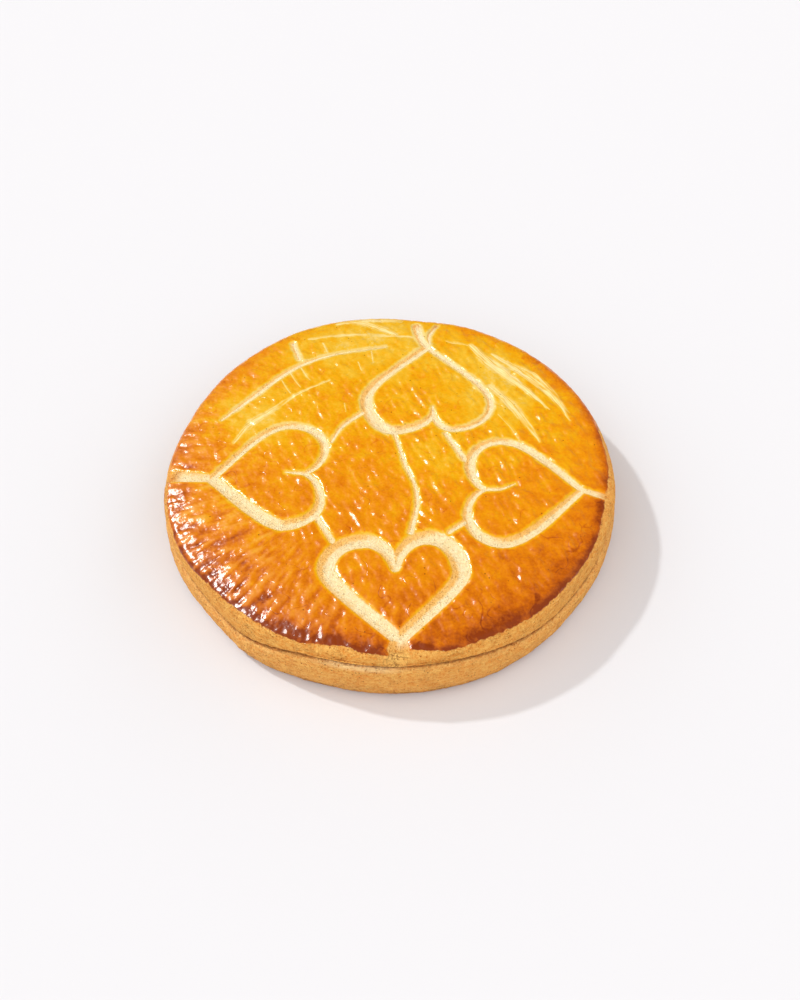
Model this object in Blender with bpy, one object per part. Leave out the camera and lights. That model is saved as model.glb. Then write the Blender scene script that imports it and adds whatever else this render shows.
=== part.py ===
"""A gateau basque: a round shortcrust cake baked shut, with four hearts scored in its glazed lid.

Two layers of dough show at the side, a lower crust and a lid, and each is a solid that runs through
the cake. They meet at an uneven seam. The lid is a shallow dome with a rounded shoulder, and the
hearts, their tails over the rim and the lines between them are gouged into it.

Every size is in millimetres, and MM turns it into metres when a mesh is made. The origin is the
centre of the cake's footprint, on the surface that it stands on, and +Z is up. Azimuths run
anticlockwise from +X, in degrees.
"""

import math
from collections import namedtuple

import bmesh
import bpy
import numpy as np
from mathutils.geometry import delaunay_2d_cdt

MM = 0.001
MERGE_DISTANCE = 0.001 * MM
SHARP_ANGLE = 60.0

# The cake as a whole.
RADIUS = 111.0
CENTRE_HEIGHT = 35.0
SEGMENTS = 144
LAYER_GAP = 0.3

# The lower crust: its rings as (inset from RADIUS, share of the seam's height), from the floor up,
# then its lip at the seam as (inset, depth under the seam), from the outside in.
CRUST_CENTRE = (0.0, 0.0)
CRUST_SIDE = (
    (6.0, 0.0),
    (3.6, 0.015),
    (2.4, 0.07),
    (1.5, 0.15),
    (0.6, 0.28),
    (0.0, 0.45),
    (0.1, 0.62),
    (0.4, 0.80),
)
CRUST_LIP = ((0.8, 1.7), (1.5, 0.7), (2.8, 0.15), (6.8, 0.0))

# The lid: the dome falls from the centre to its shoulder, which turns down into the side.
LID_CENTRE = (0.0, 1.0)
SHOULDER_RADIUS = 104.5
SHOULDER_HEIGHT = 32.6
SHOULDER_OUT = 5.4
SHOULDER_DOWN = 5.0
SHOULDER_TURN = (14.0, 30.0, 48.0, 68.0, 90.0)
DOME_POWER = 5.0
LID_LIP = ((1.2, 1.6), (1.3, 1.2), (1.8, 0.8), (2.8, 0.3), (6.8, 0.0))

# The two layers' lips are rings round the seam's own centre. Inside the cake the layers meet in a
# level plane, within this radius.
SEAM_CENTRE = (0.0, 0.5)
PLANE_RADIUS = 88.0
PLANE_HEIGHT = 20.0

# The seam's height round the cake: a mean, and waves as (azimuth, half width, rise). It dips at the front
# left and the front right, and climbs over the front between them.
SEAM_MEAN = 20.5
SEAM_WAVES = (
    (-135.0, 20.0, -6.5),
    (-110.0, 15.0, 4.5),
    (-80.0, 20.0, 4.5),
    (-40.0, 25.0, -6.0),
    (35.0, 25.0, 1.5),
    (100.0, 22.0, -1.0),
    (160.0, 15.0, -2.5),
)

# Where the outline stands out of a circle or falls inside it, as (azimuth, half width, millimetres).
OUTLINE_BULGES = (
    (-170.0, 10.0, 1.0),
    (-141.0, 11.0, -2.0),
    (-105.0, 14.0, -1.0),
    (-72.0, 10.0, 0.5),
    (-40.0, 12.0, -1.2),
    (-9.0, 11.0, 1.0),
    (80.0, 9.0, -1.5),
    (113.0, 16.0, 1.8),
    (160.0, 13.0, -1.5),
)

# How deep a stroke cuts, as a share of its width: the hearts, the tails that leave the lid's edge, and
# the light lines between the hearts.
HEART_DEPTH = 0.19
TAIL_DEPTH = 0.15
LINE_DEPTH = 0.10

# How finely the lid's top is meshed: the step along a stroke, the widest stroke without points on its
# walls, and the gaps that corners and filling points keep.
STROKE_STEP = 3.0
THIN_STROKE = 3.2
CORNER_GAP = 1.1
FILLER_SPACING = 6.6
FILLER_GAP = 3.6
CORNER_NEARNESS = 1e-6

# How a heart's curves are shaped, as shares of the way along and across to the next point: out of the
# cleft, into the lobe, round the lobe and into the tip.
CLEFT_RISE = 0.55
CLEFT_REACH = 0.12
LOBE_LEAD = 0.5
LOBE_ROUND = 0.56
TIP_FALL = 0.3
TIP_INWARD = 0.35
ARC_POINTS = 24
FLANK_POINTS = 48
LINE_POINTS = 12

# A heart is two strokes from its cleft, each round a lobe, out to the heart's side and in to the tip.
# The widths are at the cleft, the lobe, the side, the flank and the tip.
Heart = namedtuple("Heart", "tip cleft halves")
Half = namedtuple("Half", "lobe side widths belly")
HEARTS = {
    "front": Heart(
        (3.0, -99.0),
        (2.0, -62.0),
        (
            Half((-13.0, -46.5), (-29.5, -62.0), (5.5, 8.5, 9.0, 7.5, 7.0), 0.20),
            Half((17.0, -45.5), (32.0, -65.5), (5.5, 8.5, 9.0, 7.5, 7.0), 0.20),
        ),
    ),
    "left": Heart(
        (-86.5, -5.5),
        (-41.5, -4.5),
        (
            Half((-31.5, 11.5), (-50.5, 27.0), (3.0, 5.0, 4.5, 4.5, 5.0), 0.34),
            Half((-33.0, -22.0), (-50.0, -36.0), (3.0, 5.0, 7.0, 7.0, 6.0), 0.22),
        ),
    ),
    "back": Heart(
        (21.5, 82.5),
        (22.5, 32.5),
        (
            Half((4.0, 22.5), (-11.0, 43.5), (4.0, 6.5, 7.0, 5.0, 5.0), 0.30),
            Half((33.0, 22.0), (52.5, 40.0), (4.0, 4.0, 4.0, 3.5, 3.5), 0.30),
        ),
    ),
    "right": Heart(
        (92.5, -18.5),
        (46.0, -17.5),
        (
            Half((39.5, -2.5), (55.5, 13.0), (3.0, 6.0, 4.5, 5.0, 4.0), 0.36),
            Half((36.5, -33.0), (52.0, -49.5), (3.0, 5.0, 6.5, 6.0, 4.0), 0.30),
        ),
    ),
}

# The other scored lines, each as its points, its width at each point and its depth.
Line = namedtuple("Line", "points widths depth", defaults=(LINE_DEPTH,))
LINES = {
    "front tail": Line(((3.0, -99.0), (2.5, -106.0)), (7.0, 12.0), HEART_DEPTH),
    "left tail": Line(((-86.5, -5.5), (-95.0, -4.0), (-106.0, -2.0)), (5.0, 6.5, 8.0), TAIL_DEPTH),
    "back tail": Line(((21.5, 82.5), (18.0, 90.5), (16.5, 100.0)), (5.0, 5.0, 5.5), TAIL_DEPTH),
    "back fork": Line(((23.0, 85.5), (23.0, 92.0), (27.5, 101.0)), (2.2, 2.6, 2.6), TAIL_DEPTH),
    "right tail": Line(((92.5, -18.5), (105.0, -23.0)), (3.5, 4.5), TAIL_DEPTH),
    "left cleft": Line(((-41.5, -4.5), (-50.5, -3.5)), (3.0, 1.2)),
    "back cleft": Line(((22.5, 32.5), (23.0, 38.5)), (4.0, 1.2)),
    "right cleft": Line(((46.0, -17.5), (53.5, -17.5), (60.5, -14.5)), (3.0, 2.4, 1.2)),
    "centre": Line(
        ((3.0, 20.5), (8.0, -1.0), (12.0, -13.0), (13.0, -25.5), (9.5, -42.0)),
        (2.6, 2.4, 2.6, 3.0, 4.0),
    ),
    "back to right": Line(((28.5, 19.0), (37.0, 2.0)), (2.6, 3.8)),
    "left to front": Line(((-34.5, -32.0), (-27.0, -46.0)), (3.6, 3.6)),
    "right to front": Line(((35.0, -37.0), (27.5, -42.5)), (3.6, 3.2)),
    "left to back": Line(((-28.5, 15.5), (-23.0, 26.0), (-13.5, 34.5)), (2.2, 3.0, 3.4)),
    "back left arc": Line(
        ((-84.5, 33.5), (-69.5, 49.0), (-54.0, 65.0), (-42.5, 73.0), (-26.5, 79.0), (-0.5, 83.5)),
        (2.0, 3.8, 4.0, 3.2, 1.6, 1.2),
    ),
    "tick": Line(((-50.5, 89.0), (-46.5, 76.0)), (3.4, 2.6)),
}

Stroke = namedtuple("Stroke", "points widths depth")


def clear_scene():
    for existing in list(bpy.data.objects):
        bpy.data.objects.remove(existing, do_unlink=True)


def circle_angles(count=SEGMENTS):
    return np.linspace(-math.pi, math.pi, count, endpoint=False)


def bumps(angles, waves):
    """The sum of smooth waves round the cake, each an (azimuth, half width, rise), at these angles."""
    total = np.zeros_like(angles)
    for azimuth, half_width, rise in waves:
        away = (np.degrees(angles) - azimuth + 180.0) % 360.0 - 180.0
        total += rise * np.exp(-((away / half_width) ** 2))
    return total


def outline_factor(angles):
    """How far the outline stands out of a circle, at these angles, as a factor on the radius."""
    return 1.0 + bumps(angles, OUTLINE_BULGES) / RADIUS


def seam_height(angles):
    return SEAM_MEAN + bumps(angles, SEAM_WAVES)


def bezier(start, start_handle, end_handle, end, count):
    t = np.linspace(0.0, 1.0, count)[:, None]
    return (
        (1 - t) ** 3 * start
        + 3 * (1 - t) ** 2 * t * start_handle
        + 3 * (1 - t) * t**2 * end_handle
        + t**3 * end
    )


def smooth_curve(points, count):
    """A curve through the points, with each tangent set by the point's two neighbours."""
    knots = np.asarray(points, dtype=float)
    tangents = np.gradient(knots, axis=0)
    spans = [
        bezier(a, a + along / 3, b - onward / 3, b, count)[:-1]
        for a, along, b, onward in zip(knots[:-1], tangents[:-1], knots[1:], tangents[1:])
    ]
    return np.vstack(spans + [knots[-1:]])


def evened(points, widths, depth, step):
    """The same stroke with its points a step apart."""
    lengths = np.hypot(*np.diff(points, axis=0).T)
    travelled = np.concatenate([[0.0], np.cumsum(lengths)])
    count = max(3, round(travelled[-1] / step) + 1)
    stops = np.linspace(0.0, travelled[-1], count)
    even = np.column_stack([np.interp(stops, travelled, points[:, axis]) for axis in (0, 1)])
    return Stroke(even, np.interp(stops, travelled, widths), depth)


def heart_stroke(heart, half, step):
    """One side of a heart: out of the cleft, round the lobe, down the side and in to the tip."""
    tip, cleft, lobe, side = (np.array(p) for p in (heart.tip, heart.cleft, half.lobe, half.side))
    along = (cleft - tip) / np.linalg.norm(cleft - tip)
    across = np.array([-along[1], along[0]])
    across *= np.sign(np.dot(side - cleft, across))

    def split(vector):
        return along * np.dot(vector, along), across * np.dot(vector, across)

    rise, reach = split(lobe - cleft)
    out_of_cleft = cleft + CLEFT_RISE * rise + CLEFT_REACH * reach
    cleft_arc = bezier(cleft, out_of_cleft, lobe - LOBE_LEAD * reach, lobe, ARC_POINTS)
    drop, spread = split(side - lobe)
    lobe_arc = bezier(lobe, lobe + LOBE_ROUND * spread, side - LOBE_ROUND * drop, side, ARC_POINTS)
    fall, inward = split(tip - side)
    into_tip = tip - TIP_FALL * fall - TIP_INWARD * inward
    flank = bezier(side, side + half.belly * fall, into_tip, tip, FLANK_POINTS)
    points = np.vstack([cleft_arc, lobe_arc[1:], flank[1:]])
    last = len(points) - 1
    at_lobe = ARC_POINTS - 1
    stops = (0, at_lobe, 2 * at_lobe, 3 * at_lobe, last)
    widths = np.interp(np.arange(last + 1), stops, half.widths)
    return evened(points, widths, HEART_DEPTH, step)


def line_stroke(line, step):
    points = smooth_curve(line.points, LINE_POINTS)
    stops = np.arange(len(line.points)) * (LINE_POINTS - 1)
    widths = np.interp(np.arange(len(points)), stops, line.widths)
    return evened(points, widths, line.depth, step)


def scored_strokes(step=STROKE_STEP):
    strokes = [heart_stroke(heart, half, step) for heart in HEARTS.values() for half in heart.halves]
    strokes += [line_stroke(line, step) for line in LINES.values()]
    return strokes


def gouge(points, strokes):
    """How deep the strokes cut under each point of the lid's top."""
    depth = np.zeros(len(points))
    for stroke in strokes:
        starts = stroke.points[:-1]
        runs = np.diff(stroke.points, axis=0)
        squares = (runs**2).sum(axis=1)
        for start, run, square, width, next_width in zip(
            starts, runs, squares, stroke.widths[:-1], stroke.widths[1:]
        ):
            offset = points - start
            share = np.clip(offset @ run / square, 0.0, 1.0)
            away = np.hypot(*(offset - share[:, None] * run).T)
            local_width = width + share * (next_width - width)
            inside = np.clip(1.0 - (2.0 * away / local_width) ** 2, 0.0, 1.0)
            depth = np.maximum(depth, stroke.depth * local_width * inside)
    return depth


def lid_polar(points):
    """Each point's angle round the lid's centre, and its radius as a share of the shoulder's."""
    x = points[:, 0] - LID_CENTRE[0]
    y = points[:, 1] - LID_CENTRE[1]
    angles = np.arctan2(y, x)
    return angles, np.hypot(x, y) / (SHOULDER_RADIUS * outline_factor(angles))


def lid_height(points, strokes):
    """The lid's top: a dome that stays almost flat until near its shoulder, less what is gouged."""
    _, share = lid_polar(points)
    fall = (CENTRE_HEIGHT - SHOULDER_HEIGHT) * np.clip(share, 0.0, 1.0) ** DOME_POWER
    return CENTRE_HEIGHT - fall - gouge(points, strokes)


def ring(centre, radius, heights, angles):
    """A closed row of points round the cake, in millimetres."""
    reach = radius * outline_factor(angles)
    return np.column_stack(
        [centre[0] + reach * np.cos(angles), centre[1] + reach * np.sin(angles), heights]
    )


def add_ring(mesh, points):
    return [mesh.verts.new(tuple(MM * value for value in point)) for point in points]


def loft(mesh, rings):
    """Join the rings one after another with quads, and return the first and last rows of vertices."""
    rows = [add_ring(mesh, points) for points in rings]
    for lower, upper in zip(rows[:-1], rows[1:]):
        for i in range(len(lower)):
            j = (i + 1) % len(lower)
            mesh.faces.new((lower[i], lower[j], upper[j], upper[i]))
    return rows[0], rows[-1]


def finish_object(mesh, name, material):
    bmesh.ops.remove_doubles(mesh, verts=mesh.verts, dist=MERGE_DISTANCE)
    bmesh.ops.recalc_face_normals(mesh, faces=mesh.faces)
    data = bpy.data.meshes.new(name)
    mesh.to_mesh(data)
    mesh.free()
    data.shade_smooth()
    data.set_sharp_from_angle(angle=math.radians(SHARP_ANGLE))
    data.materials.append(material)
    made = bpy.data.objects.new(name, data)
    bpy.context.scene.collection.objects.link(made)
    return made


def dough_material(name, colour, roughness, coat=0.0):
    material = bpy.data.materials.new(name)
    material.use_nodes = True
    shader = material.node_tree.nodes["Principled BSDF"]
    shader.inputs["Base Color"].default_value = (*colour, 1.0)
    shader.inputs["Roughness"].default_value = roughness
    shader.inputs["Metallic"].default_value = 0.0
    shader.inputs["Coat Weight"].default_value = coat
    material.diffuse_color = (*colour, 1.0)
    return material


def base_crust():
    """The lower crust: a flat bottom, a bulging side that tucks in at the floor, and a soft lip."""
    angles = circle_angles()
    seam = seam_height(angles)
    rings = [ring(CRUST_CENTRE, RADIUS - inset, share * seam, angles) for inset, share in CRUST_SIDE]
    rings += [ring(SEAM_CENTRE, RADIUS - inset, seam - under, angles) for inset, under in CRUST_LIP]
    rings.append(ring(SEAM_CENTRE, PLANE_RADIUS, np.full_like(angles, PLANE_HEIGHT), angles))
    mesh = bmesh.new()
    bottom, top = loft(mesh, rings)
    mesh.faces.new(bottom)
    mesh.faces.new(top)
    material = dough_material("baked_dough", (0.72, 0.42, 0.13), 0.75)
    return finish_object(mesh, "base_crust", material)


def shoulder_rings(angles, strokes):
    """The lid's rings from its top edge down to the seam. Tails that reach the edge run on over it."""
    edge = ring(LID_CENTRE, SHOULDER_RADIUS, np.zeros_like(angles), angles)
    edge[:, 2] = lid_height(edge[:, :2], strokes)
    notch = gouge(edge[:, :2], strokes)
    rings = [edge]
    for turn in SHOULDER_TURN:
        sine = math.sin(math.radians(turn))
        cosine = math.cos(math.radians(turn))
        cut = notch * cosine
        radius = SHOULDER_RADIUS + SHOULDER_OUT * sine - cut * sine
        height = SHOULDER_HEIGHT - SHOULDER_DOWN * (1.0 - cosine) - cut * cosine
        rings.append(ring(LID_CENTRE, radius, height, angles))
    seam = seam_height(angles) + LAYER_GAP
    rings += [ring(SEAM_CENTRE, RADIUS - inset, seam + above, angles) for inset, above in LID_LIP]
    level = np.full_like(angles, PLANE_HEIGHT + LAYER_GAP)
    rings.append(ring(SEAM_CENTRE, PLANE_RADIUS, level, angles))
    return rings


def stroke_corners(stroke):
    """Points along a stroke's middle, its two edges and, on a wide one, halfway up each wall."""
    heading = np.gradient(stroke.points, axis=0)
    heading /= np.linalg.norm(heading, axis=1)[:, None]
    sideways = np.column_stack([-heading[:, 1], heading[:, 0]]) * stroke.widths[:, None] / 2
    shares = (0.0, -1.0, 1.0)
    if stroke.widths.max() > THIN_STROKE:
        shares += (-0.5, 0.5)
    return np.vstack([stroke.points + share * sideways for share in shares])


def filler_grid():
    """A triangular grid of points over the lid's top."""
    row_gap = FILLER_SPACING * math.sqrt(0.75)
    rows = int(SHOULDER_RADIUS / row_gap) + 1
    columns = int(SHOULDER_RADIUS / FILLER_SPACING) + 1
    return np.array(
        [
            ((column + 0.5 * (row % 2)) * FILLER_SPACING, row * row_gap)
            for row in range(-rows, rows + 1)
            for column in range(-columns, columns + 1)
        ]
    )


def spaced(kept, candidates, gap):
    """The kept points, and each candidate in turn that is at least a gap from all before it."""
    for candidate in candidates:
        if np.hypot(*(np.array(kept) - candidate).T).min() >= gap:
            kept.append(candidate)
    return kept


def fill_lid(mesh, edge, strokes):
    """The lid's top as triangles whose corners follow the strokes."""
    corners = np.vstack([stroke_corners(stroke) for stroke in strokes])
    _, share = lid_polar(corners)
    corners = corners[share < 1.0 - CORNER_GAP / SHOULDER_RADIUS]
    filler = filler_grid()
    _, share = lid_polar(filler)
    filler = filler[share < 1.0 - FILLER_GAP / SHOULDER_RADIUS]
    kept = spaced([point[:2] for point in edge], corners, CORNER_GAP)
    kept = spaced(kept, filler, FILLER_GAP)
    rim = [(i, (i + 1) % len(edge)) for i in range(len(edge))]
    inside_rim = 1
    places = [tuple(p) for p in kept]
    flat, _, triangles, *_ = delaunay_2d_cdt(places, rim, [], inside_rim, CORNER_NEARNESS)
    points = np.array([tuple(p) for p in flat])
    heights = lid_height(points, strokes)
    vertices = add_ring(mesh, np.column_stack([points, heights]))
    for triangle in triangles:
        mesh.faces.new([vertices[i] for i in triangle])


def top_crust():
    """The lid: the scored dome, the rounded shoulder, the side down to the seam and a flat inside."""
    strokes = scored_strokes()
    rings = shoulder_rings(circle_angles(), strokes)
    mesh = bmesh.new()
    _, bottom = loft(mesh, rings)
    mesh.faces.new(bottom)
    fill_lid(mesh, rings[0], strokes)
    material = dough_material("glazed_dough", (0.85, 0.36, 0.03), 0.35, coat=0.5)
    return finish_object(mesh, "top_crust", material)


def main():
    clear_scene()
    base_crust()
    top_crust()


main()
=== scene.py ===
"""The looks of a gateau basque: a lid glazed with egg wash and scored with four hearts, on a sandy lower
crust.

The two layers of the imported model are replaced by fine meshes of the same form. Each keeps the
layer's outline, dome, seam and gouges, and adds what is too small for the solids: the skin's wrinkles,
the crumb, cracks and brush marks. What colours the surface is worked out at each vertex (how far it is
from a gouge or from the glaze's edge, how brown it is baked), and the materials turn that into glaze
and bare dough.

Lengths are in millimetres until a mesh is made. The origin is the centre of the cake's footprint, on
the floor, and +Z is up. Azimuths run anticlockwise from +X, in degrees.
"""

import math
from collections import namedtuple
from functools import partial, reduce

import bpy
import numpy as np
from mathutils import Matrix, Vector, kdtree, noise
from mathutils.geometry import delaunay_2d_cdt


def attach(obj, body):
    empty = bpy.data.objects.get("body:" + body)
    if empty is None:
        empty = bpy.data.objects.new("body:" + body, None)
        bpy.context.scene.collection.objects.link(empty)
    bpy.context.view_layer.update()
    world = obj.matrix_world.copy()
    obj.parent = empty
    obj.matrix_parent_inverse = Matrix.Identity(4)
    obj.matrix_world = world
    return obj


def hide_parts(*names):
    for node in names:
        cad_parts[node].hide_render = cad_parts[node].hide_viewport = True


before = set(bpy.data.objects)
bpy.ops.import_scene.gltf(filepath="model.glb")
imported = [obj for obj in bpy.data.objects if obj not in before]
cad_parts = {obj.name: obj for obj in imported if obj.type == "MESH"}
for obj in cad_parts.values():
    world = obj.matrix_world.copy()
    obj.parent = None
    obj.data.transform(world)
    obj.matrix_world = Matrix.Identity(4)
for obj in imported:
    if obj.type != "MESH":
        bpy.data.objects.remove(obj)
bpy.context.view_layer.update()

MM = 0.001

# ---- The form of the cake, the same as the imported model's ----

RADIUS = 111.0
CENTRE_HEIGHT = 35.0
LAYER_GAP = 0.3

# The lower crust's rings as (inset from RADIUS, share of the seam's height), from the floor up, then
# its lip at the seam as (inset, depth under the seam), from the outside in.
CRUST_CENTRE = (0, 0)
CRUST_SIDE = (
    (6, 0),
    (3.6, 0.015),
    (2.4, 0.07),
    (1.5, 0.15),
    (0.6, 0.28),
    (0, 0.45),
    (0.1, 0.62),
    (0.4, 0.80),
)
CRUST_LIP = ((0.8, 1.7), (1.5, 0.7), (2.8, 0.15), (6.8, 0))

# The lid's dome falls from the centre to its shoulder, which turns down into the side.
LID_CENTRE = (0, 1)
SHOULDER_RADIUS = 104.5
SHOULDER_HEIGHT = 32.6
SHOULDER_OUT = 5.4
SHOULDER_DOWN = 5.0
SHOULDER_TURN = (14, 30, 48, 68, 90)
DOME_POWER = 5.0
LID_LIP = ((1.2, 1.6), (1.3, 1.2), (1.8, 0.8), (2.8, 0.3), (6.8, 0))

SEAM_CENTRE = (0, 0.5)
PLANE_RADIUS = 88.0
PLANE_HEIGHT = 20.0

# The seam's height round the cake: a mean, and waves as (azimuth, half width, rise). It dips at the front
# left and the front right, and climbs over the front between them.
SEAM_MEAN = 20.5
SEAM_WAVES = (
    (-135, 20, -6.5),
    (-110, 15, 4.5),
    (-80, 20, 4.5),
    (-40, 25, -6),
    (35, 25, 1.5),
    (100, 22, -1),
    (160, 15, -2.5),
)

# Where the outline stands out of a circle or falls inside it, as (azimuth, half width, millimetres).
OUTLINE_BULGES = (
    (-170, 10, 1),
    (-141, 11, -2),
    (-105, 14, -1),
    (-72, 10, 0.5),
    (-40, 12, -1.2),
    (-9, 11, 1),
    (80, 9, -1.5),
    (113, 16, 1.8),
    (160, 13, -1.5),
)

# How deep a stroke cuts, as a share of its width: the hearts, the tails that leave the lid's edge, and
# the light lines between the hearts.
HEART_DEPTH = 0.19
TAIL_DEPTH = 0.15
LINE_DEPTH = 0.10

# How a heart's curves are shaped, as shares of the way along and across to the next point: out of the
# cleft, into the lobe, round the lobe and into the tip.
CLEFT_RISE = 0.55
CLEFT_REACH = 0.12
LOBE_LEAD = 0.5
LOBE_ROUND = 0.56
TIP_FALL = 0.3
TIP_INWARD = 0.35
ARC_POINTS = 24
FLANK_POINTS = 48
LINE_POINTS = 12

# A heart is two strokes from its cleft, each round a lobe, out to the heart's side and in to the tip.
# The widths are at the cleft, the lobe, the side, the flank and the tip.
Heart = namedtuple("Heart", "tip cleft first second")
Half = namedtuple("Half", "lobe side widths belly")
HEARTS = {
    "front": Heart(
        (3, -99),
        (2, -62),
        Half((-13, -46.5), (-29.5, -62), (5.5, 8.5, 9, 7.5, 7), 0.20),
        Half((17, -45.5), (32, -65.5), (5.5, 8.5, 9, 7.5, 7), 0.20),
    ),
    "left": Heart(
        (-86.5, -5.5),
        (-41.5, -4.5),
        Half((-31.5, 11.5), (-50.5, 27), (3, 5, 4.5, 4.5, 5), 0.34),
        Half((-33, -22), (-50, -36), (3, 5, 7, 7, 6), 0.22),
    ),
    "back": Heart(
        (21.5, 82.5),
        (22.5, 32.5),
        Half((4, 22.5), (-11, 43.5), (4, 6.5, 7, 5, 5), 0.30),
        Half((33, 22), (52.5, 40), (4, 4, 4, 3.5, 3.5), 0.30),
    ),
    "right": Heart(
        (92.5, -18.5),
        (46, -17.5),
        Half((39.5, -2.5), (55.5, 13), (3, 6, 4.5, 5, 4), 0.36),
        Half((36.5, -33), (52, -49.5), (3, 5, 6.5, 6, 4), 0.30),
    ),
}

# The other scored lines, each as its points, its width at each point and its depth.
Line = namedtuple("Line", "points widths depth", defaults=(LINE_DEPTH,))
LINES = {
    "front tail": Line(((3, -99), (2.5, -106)), (7, 12), HEART_DEPTH),
    "left tail": Line(((-86.5, -5.5), (-95, -4), (-106, -2)), (5, 6.5, 8), TAIL_DEPTH),
    "back tail": Line(((21.5, 82.5), (18, 90.5), (16.5, 100)), (5, 5, 5.5), TAIL_DEPTH),
    "back fork": Line(((23, 85.5), (23, 92), (27.5, 101)), (2.2, 2.6, 2.6), TAIL_DEPTH),
    "right tail": Line(((92.5, -18.5), (105, -23)), (3.5, 4.5), TAIL_DEPTH),
    "left cleft": Line(((-41.5, -4.5), (-50.5, -3.5)), (3, 1.2)),
    "back cleft": Line(((22.5, 32.5), (23, 38.5)), (4, 1.2)),
    "right cleft": Line(((46, -17.5), (53.5, -17.5), (60.5, -14.5)), (3, 2.4, 1.2)),
    "centre": Line(
        ((3, 20.5), (8, -1), (12, -13), (13, -25.5), (9.5, -42)),
        (2.6, 2.4, 2.6, 3, 4),
    ),
    "back to right": Line(((28.5, 19), (37, 2)), (2.6, 3.8)),
    "left to front": Line(((-34.5, -32), (-27, -46)), (3.6, 3.6)),
    "right to front": Line(((35, -37), (27.5, -42.5)), (3.6, 3.2)),
    "left to back": Line(((-28.5, 15.5), (-23, 26), (-13.5, 34.5)), (2.2, 3, 3.4)),
    "back left arc": Line(
        ((-84.5, 33.5), (-69.5, 49), (-54, 65), (-42.5, 73), (-26.5, 79), (-0.5, 83.5)),
        (2, 3.8, 4, 3.2, 1.6, 1.2),
    ),
    "tick": Line(((-50.5, 89), (-46.5, 76)), (3.4, 2.6)),
}

Stroke = namedtuple("Stroke", "points widths depth")

# ---- What the fine meshes add ----

# How fine the meshes are: points round each ring, and the gaps along the sides and over the lid.
ROUND = 960
SIDE_GAP = 0.75
LID_GAP = 0.82
STROKE_STEP = 0.8
STROKE_SHARES = (0.0, -0.3, 0.3, -0.6, 0.6, -0.85, 0.85, -1.0, 1.0, -1.2, 1.2)
STROKE_CLEAR = 0.5
THINNING = 0.4
LATTICE_REACH = 1.1

# The triangulation keeps what is inside its rim, and merges points that are this close.
INSIDE_RIM = 1
MERGED = 1e-6

# How quickly the octaves of noise weaken and grow finer.
NOISE_FALL = 1.0
NOISE_STEP = 2.0

# How far the egg wash reaches: a mean travel, and waves as (azimuth, half width, rise). Travel is the way
# out from the lid's centre along its skin: the radius on the dome, then on round the shoulder and down
# the side. The wash stops short on the right, and in two dips at the front.
GLAZE_TRAVEL = 109.5
GLAZE_WAVES = (
    (-175, 10, -2),
    (-150, 8, 1.5),
    (-125, 12, -2),
    (-102, 7, -3.5),
    (-85, 6, -3.5),
    (-68, 10, -1.5),
    (-14, 13, -4.5),
    (6, 9, -2),
)

# Where the glaze is baked dark along its edge, as (azimuth, half width in degrees, distance inside the
# glaze's edge, half depth, strength).
BROWNED = (
    (-150, 12, 0.8, 1.5, 0.36),
    (-125, 11, 0.6, 1.9, 0.48),
    (-115, 5, 4.6, 2.6, 0.34),
    (-108, 5, 3, 2.4, 0.32),
    (-100, 5, 0.6, 1.5, 0.36),
    (-95.5, 2, 1, 1.6, 0.40),
    (-83.5, 3, 1.4, 1.7, 0.40),
    (-77, 3, 0.6, 1.5, 0.26),
    (-67, 6, 2.6, 4, 0.22),
    (-60, 6, 3.4, 4.6, 0.22),
    (-50, 8, 0.6, 3, 0.27),
    (-40, 8, 0.4, 2.6, 0.27),
    (-28, 8, 0.4, 2.8, 0.28),
    (-17, 8, 0.4, 3.4, 0.32),
    (-5, 7, 0.4, 2.8, 0.32),
    (8, 6, 0.6, 2.8, 0.36),
    (18, 9, 2, 3.2, 0.30),
    (34, 12, 2.6, 3.4, 0.16),
)

# Where the bake is darker or paler than the rest, as (x, y, reach, amount).
BAKE_PATCHES = (
    (-20, -14, 22, 0.06),
    (22, 0, 16, -0.08),
    (56, 57, 20, -0.17),
    (60, 34, 16, -0.12),
    (34, 12, 12, -0.07),
    (-68, 34, 17, -0.22),
    (-10, 92, 28, -0.10),
    (-62, -6, 16, 0.06),
    (2, -80, 22, 0.04),
    (-62, -66, 26, 0.05),
    (66, -58, 28, 0.05),
    (-98, 10, 26, 0.10),
    (80, 64, 20, 0.09),
    (-78, 70, 22, 0.16),
    (46, 94, 16, 0.10),
)

# Places round the cake, as an azimuth and a half width in degrees: the sides of the lid where the skin is
# wrinkled, puckered and rolled down, the notch of the front tail, and the ledge at the front where the
# lower crust's lip is painted palest, as light.
WRINKLED_SIDE = (-145, 45)
PUCKERED_SIDE = (-172, 55)
ROLLED_SIDE = (-160, 50)
NOTCH = (-89.5, 2.8)
PAINTED_LIGHT_LEDGE = (-98, 8)

# Between which travels these set in, from none to full, or end.
WRINKLES_SET_IN = (48, 88)
WRINKLES_END = (109, 113)
BRUSHING_ENDS = (99, 107)
ROLL_ENDS = (105, 113)
FRONT_BAKES = (70, 104)
RIM_BAKES = (94, 107)
SIDE_SETS_IN = (99.5, 105.5)
NOTCH_SETS_IN = (105, 108)

# How wrinkled the skin is away from its wrinkled side, where the puckers lie, as a travel and a half
# width, and how the lid's edge rolls down: from which travel, over how far and how steeply.
LEAST_WRINKLED = 0.14
PUCKERS = (104, 4)
ROLL_START = 97.0
ROLL_REACH = 8.0
ROLL_DROP = 0.008

# How high the skin's wrinkles and brush ridges stand, how deep and wide its rounding at a gouge is, and
# how far bare dough lies under it.
WRINKLE_HEIGHT = 0.44
BRUSH_RIDGE_HEIGHT = 0.52
ROUNDING_DEPTH = 0.18
ROUNDING_REACH = 0.9
BARE_DEPTH = 0.30

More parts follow.
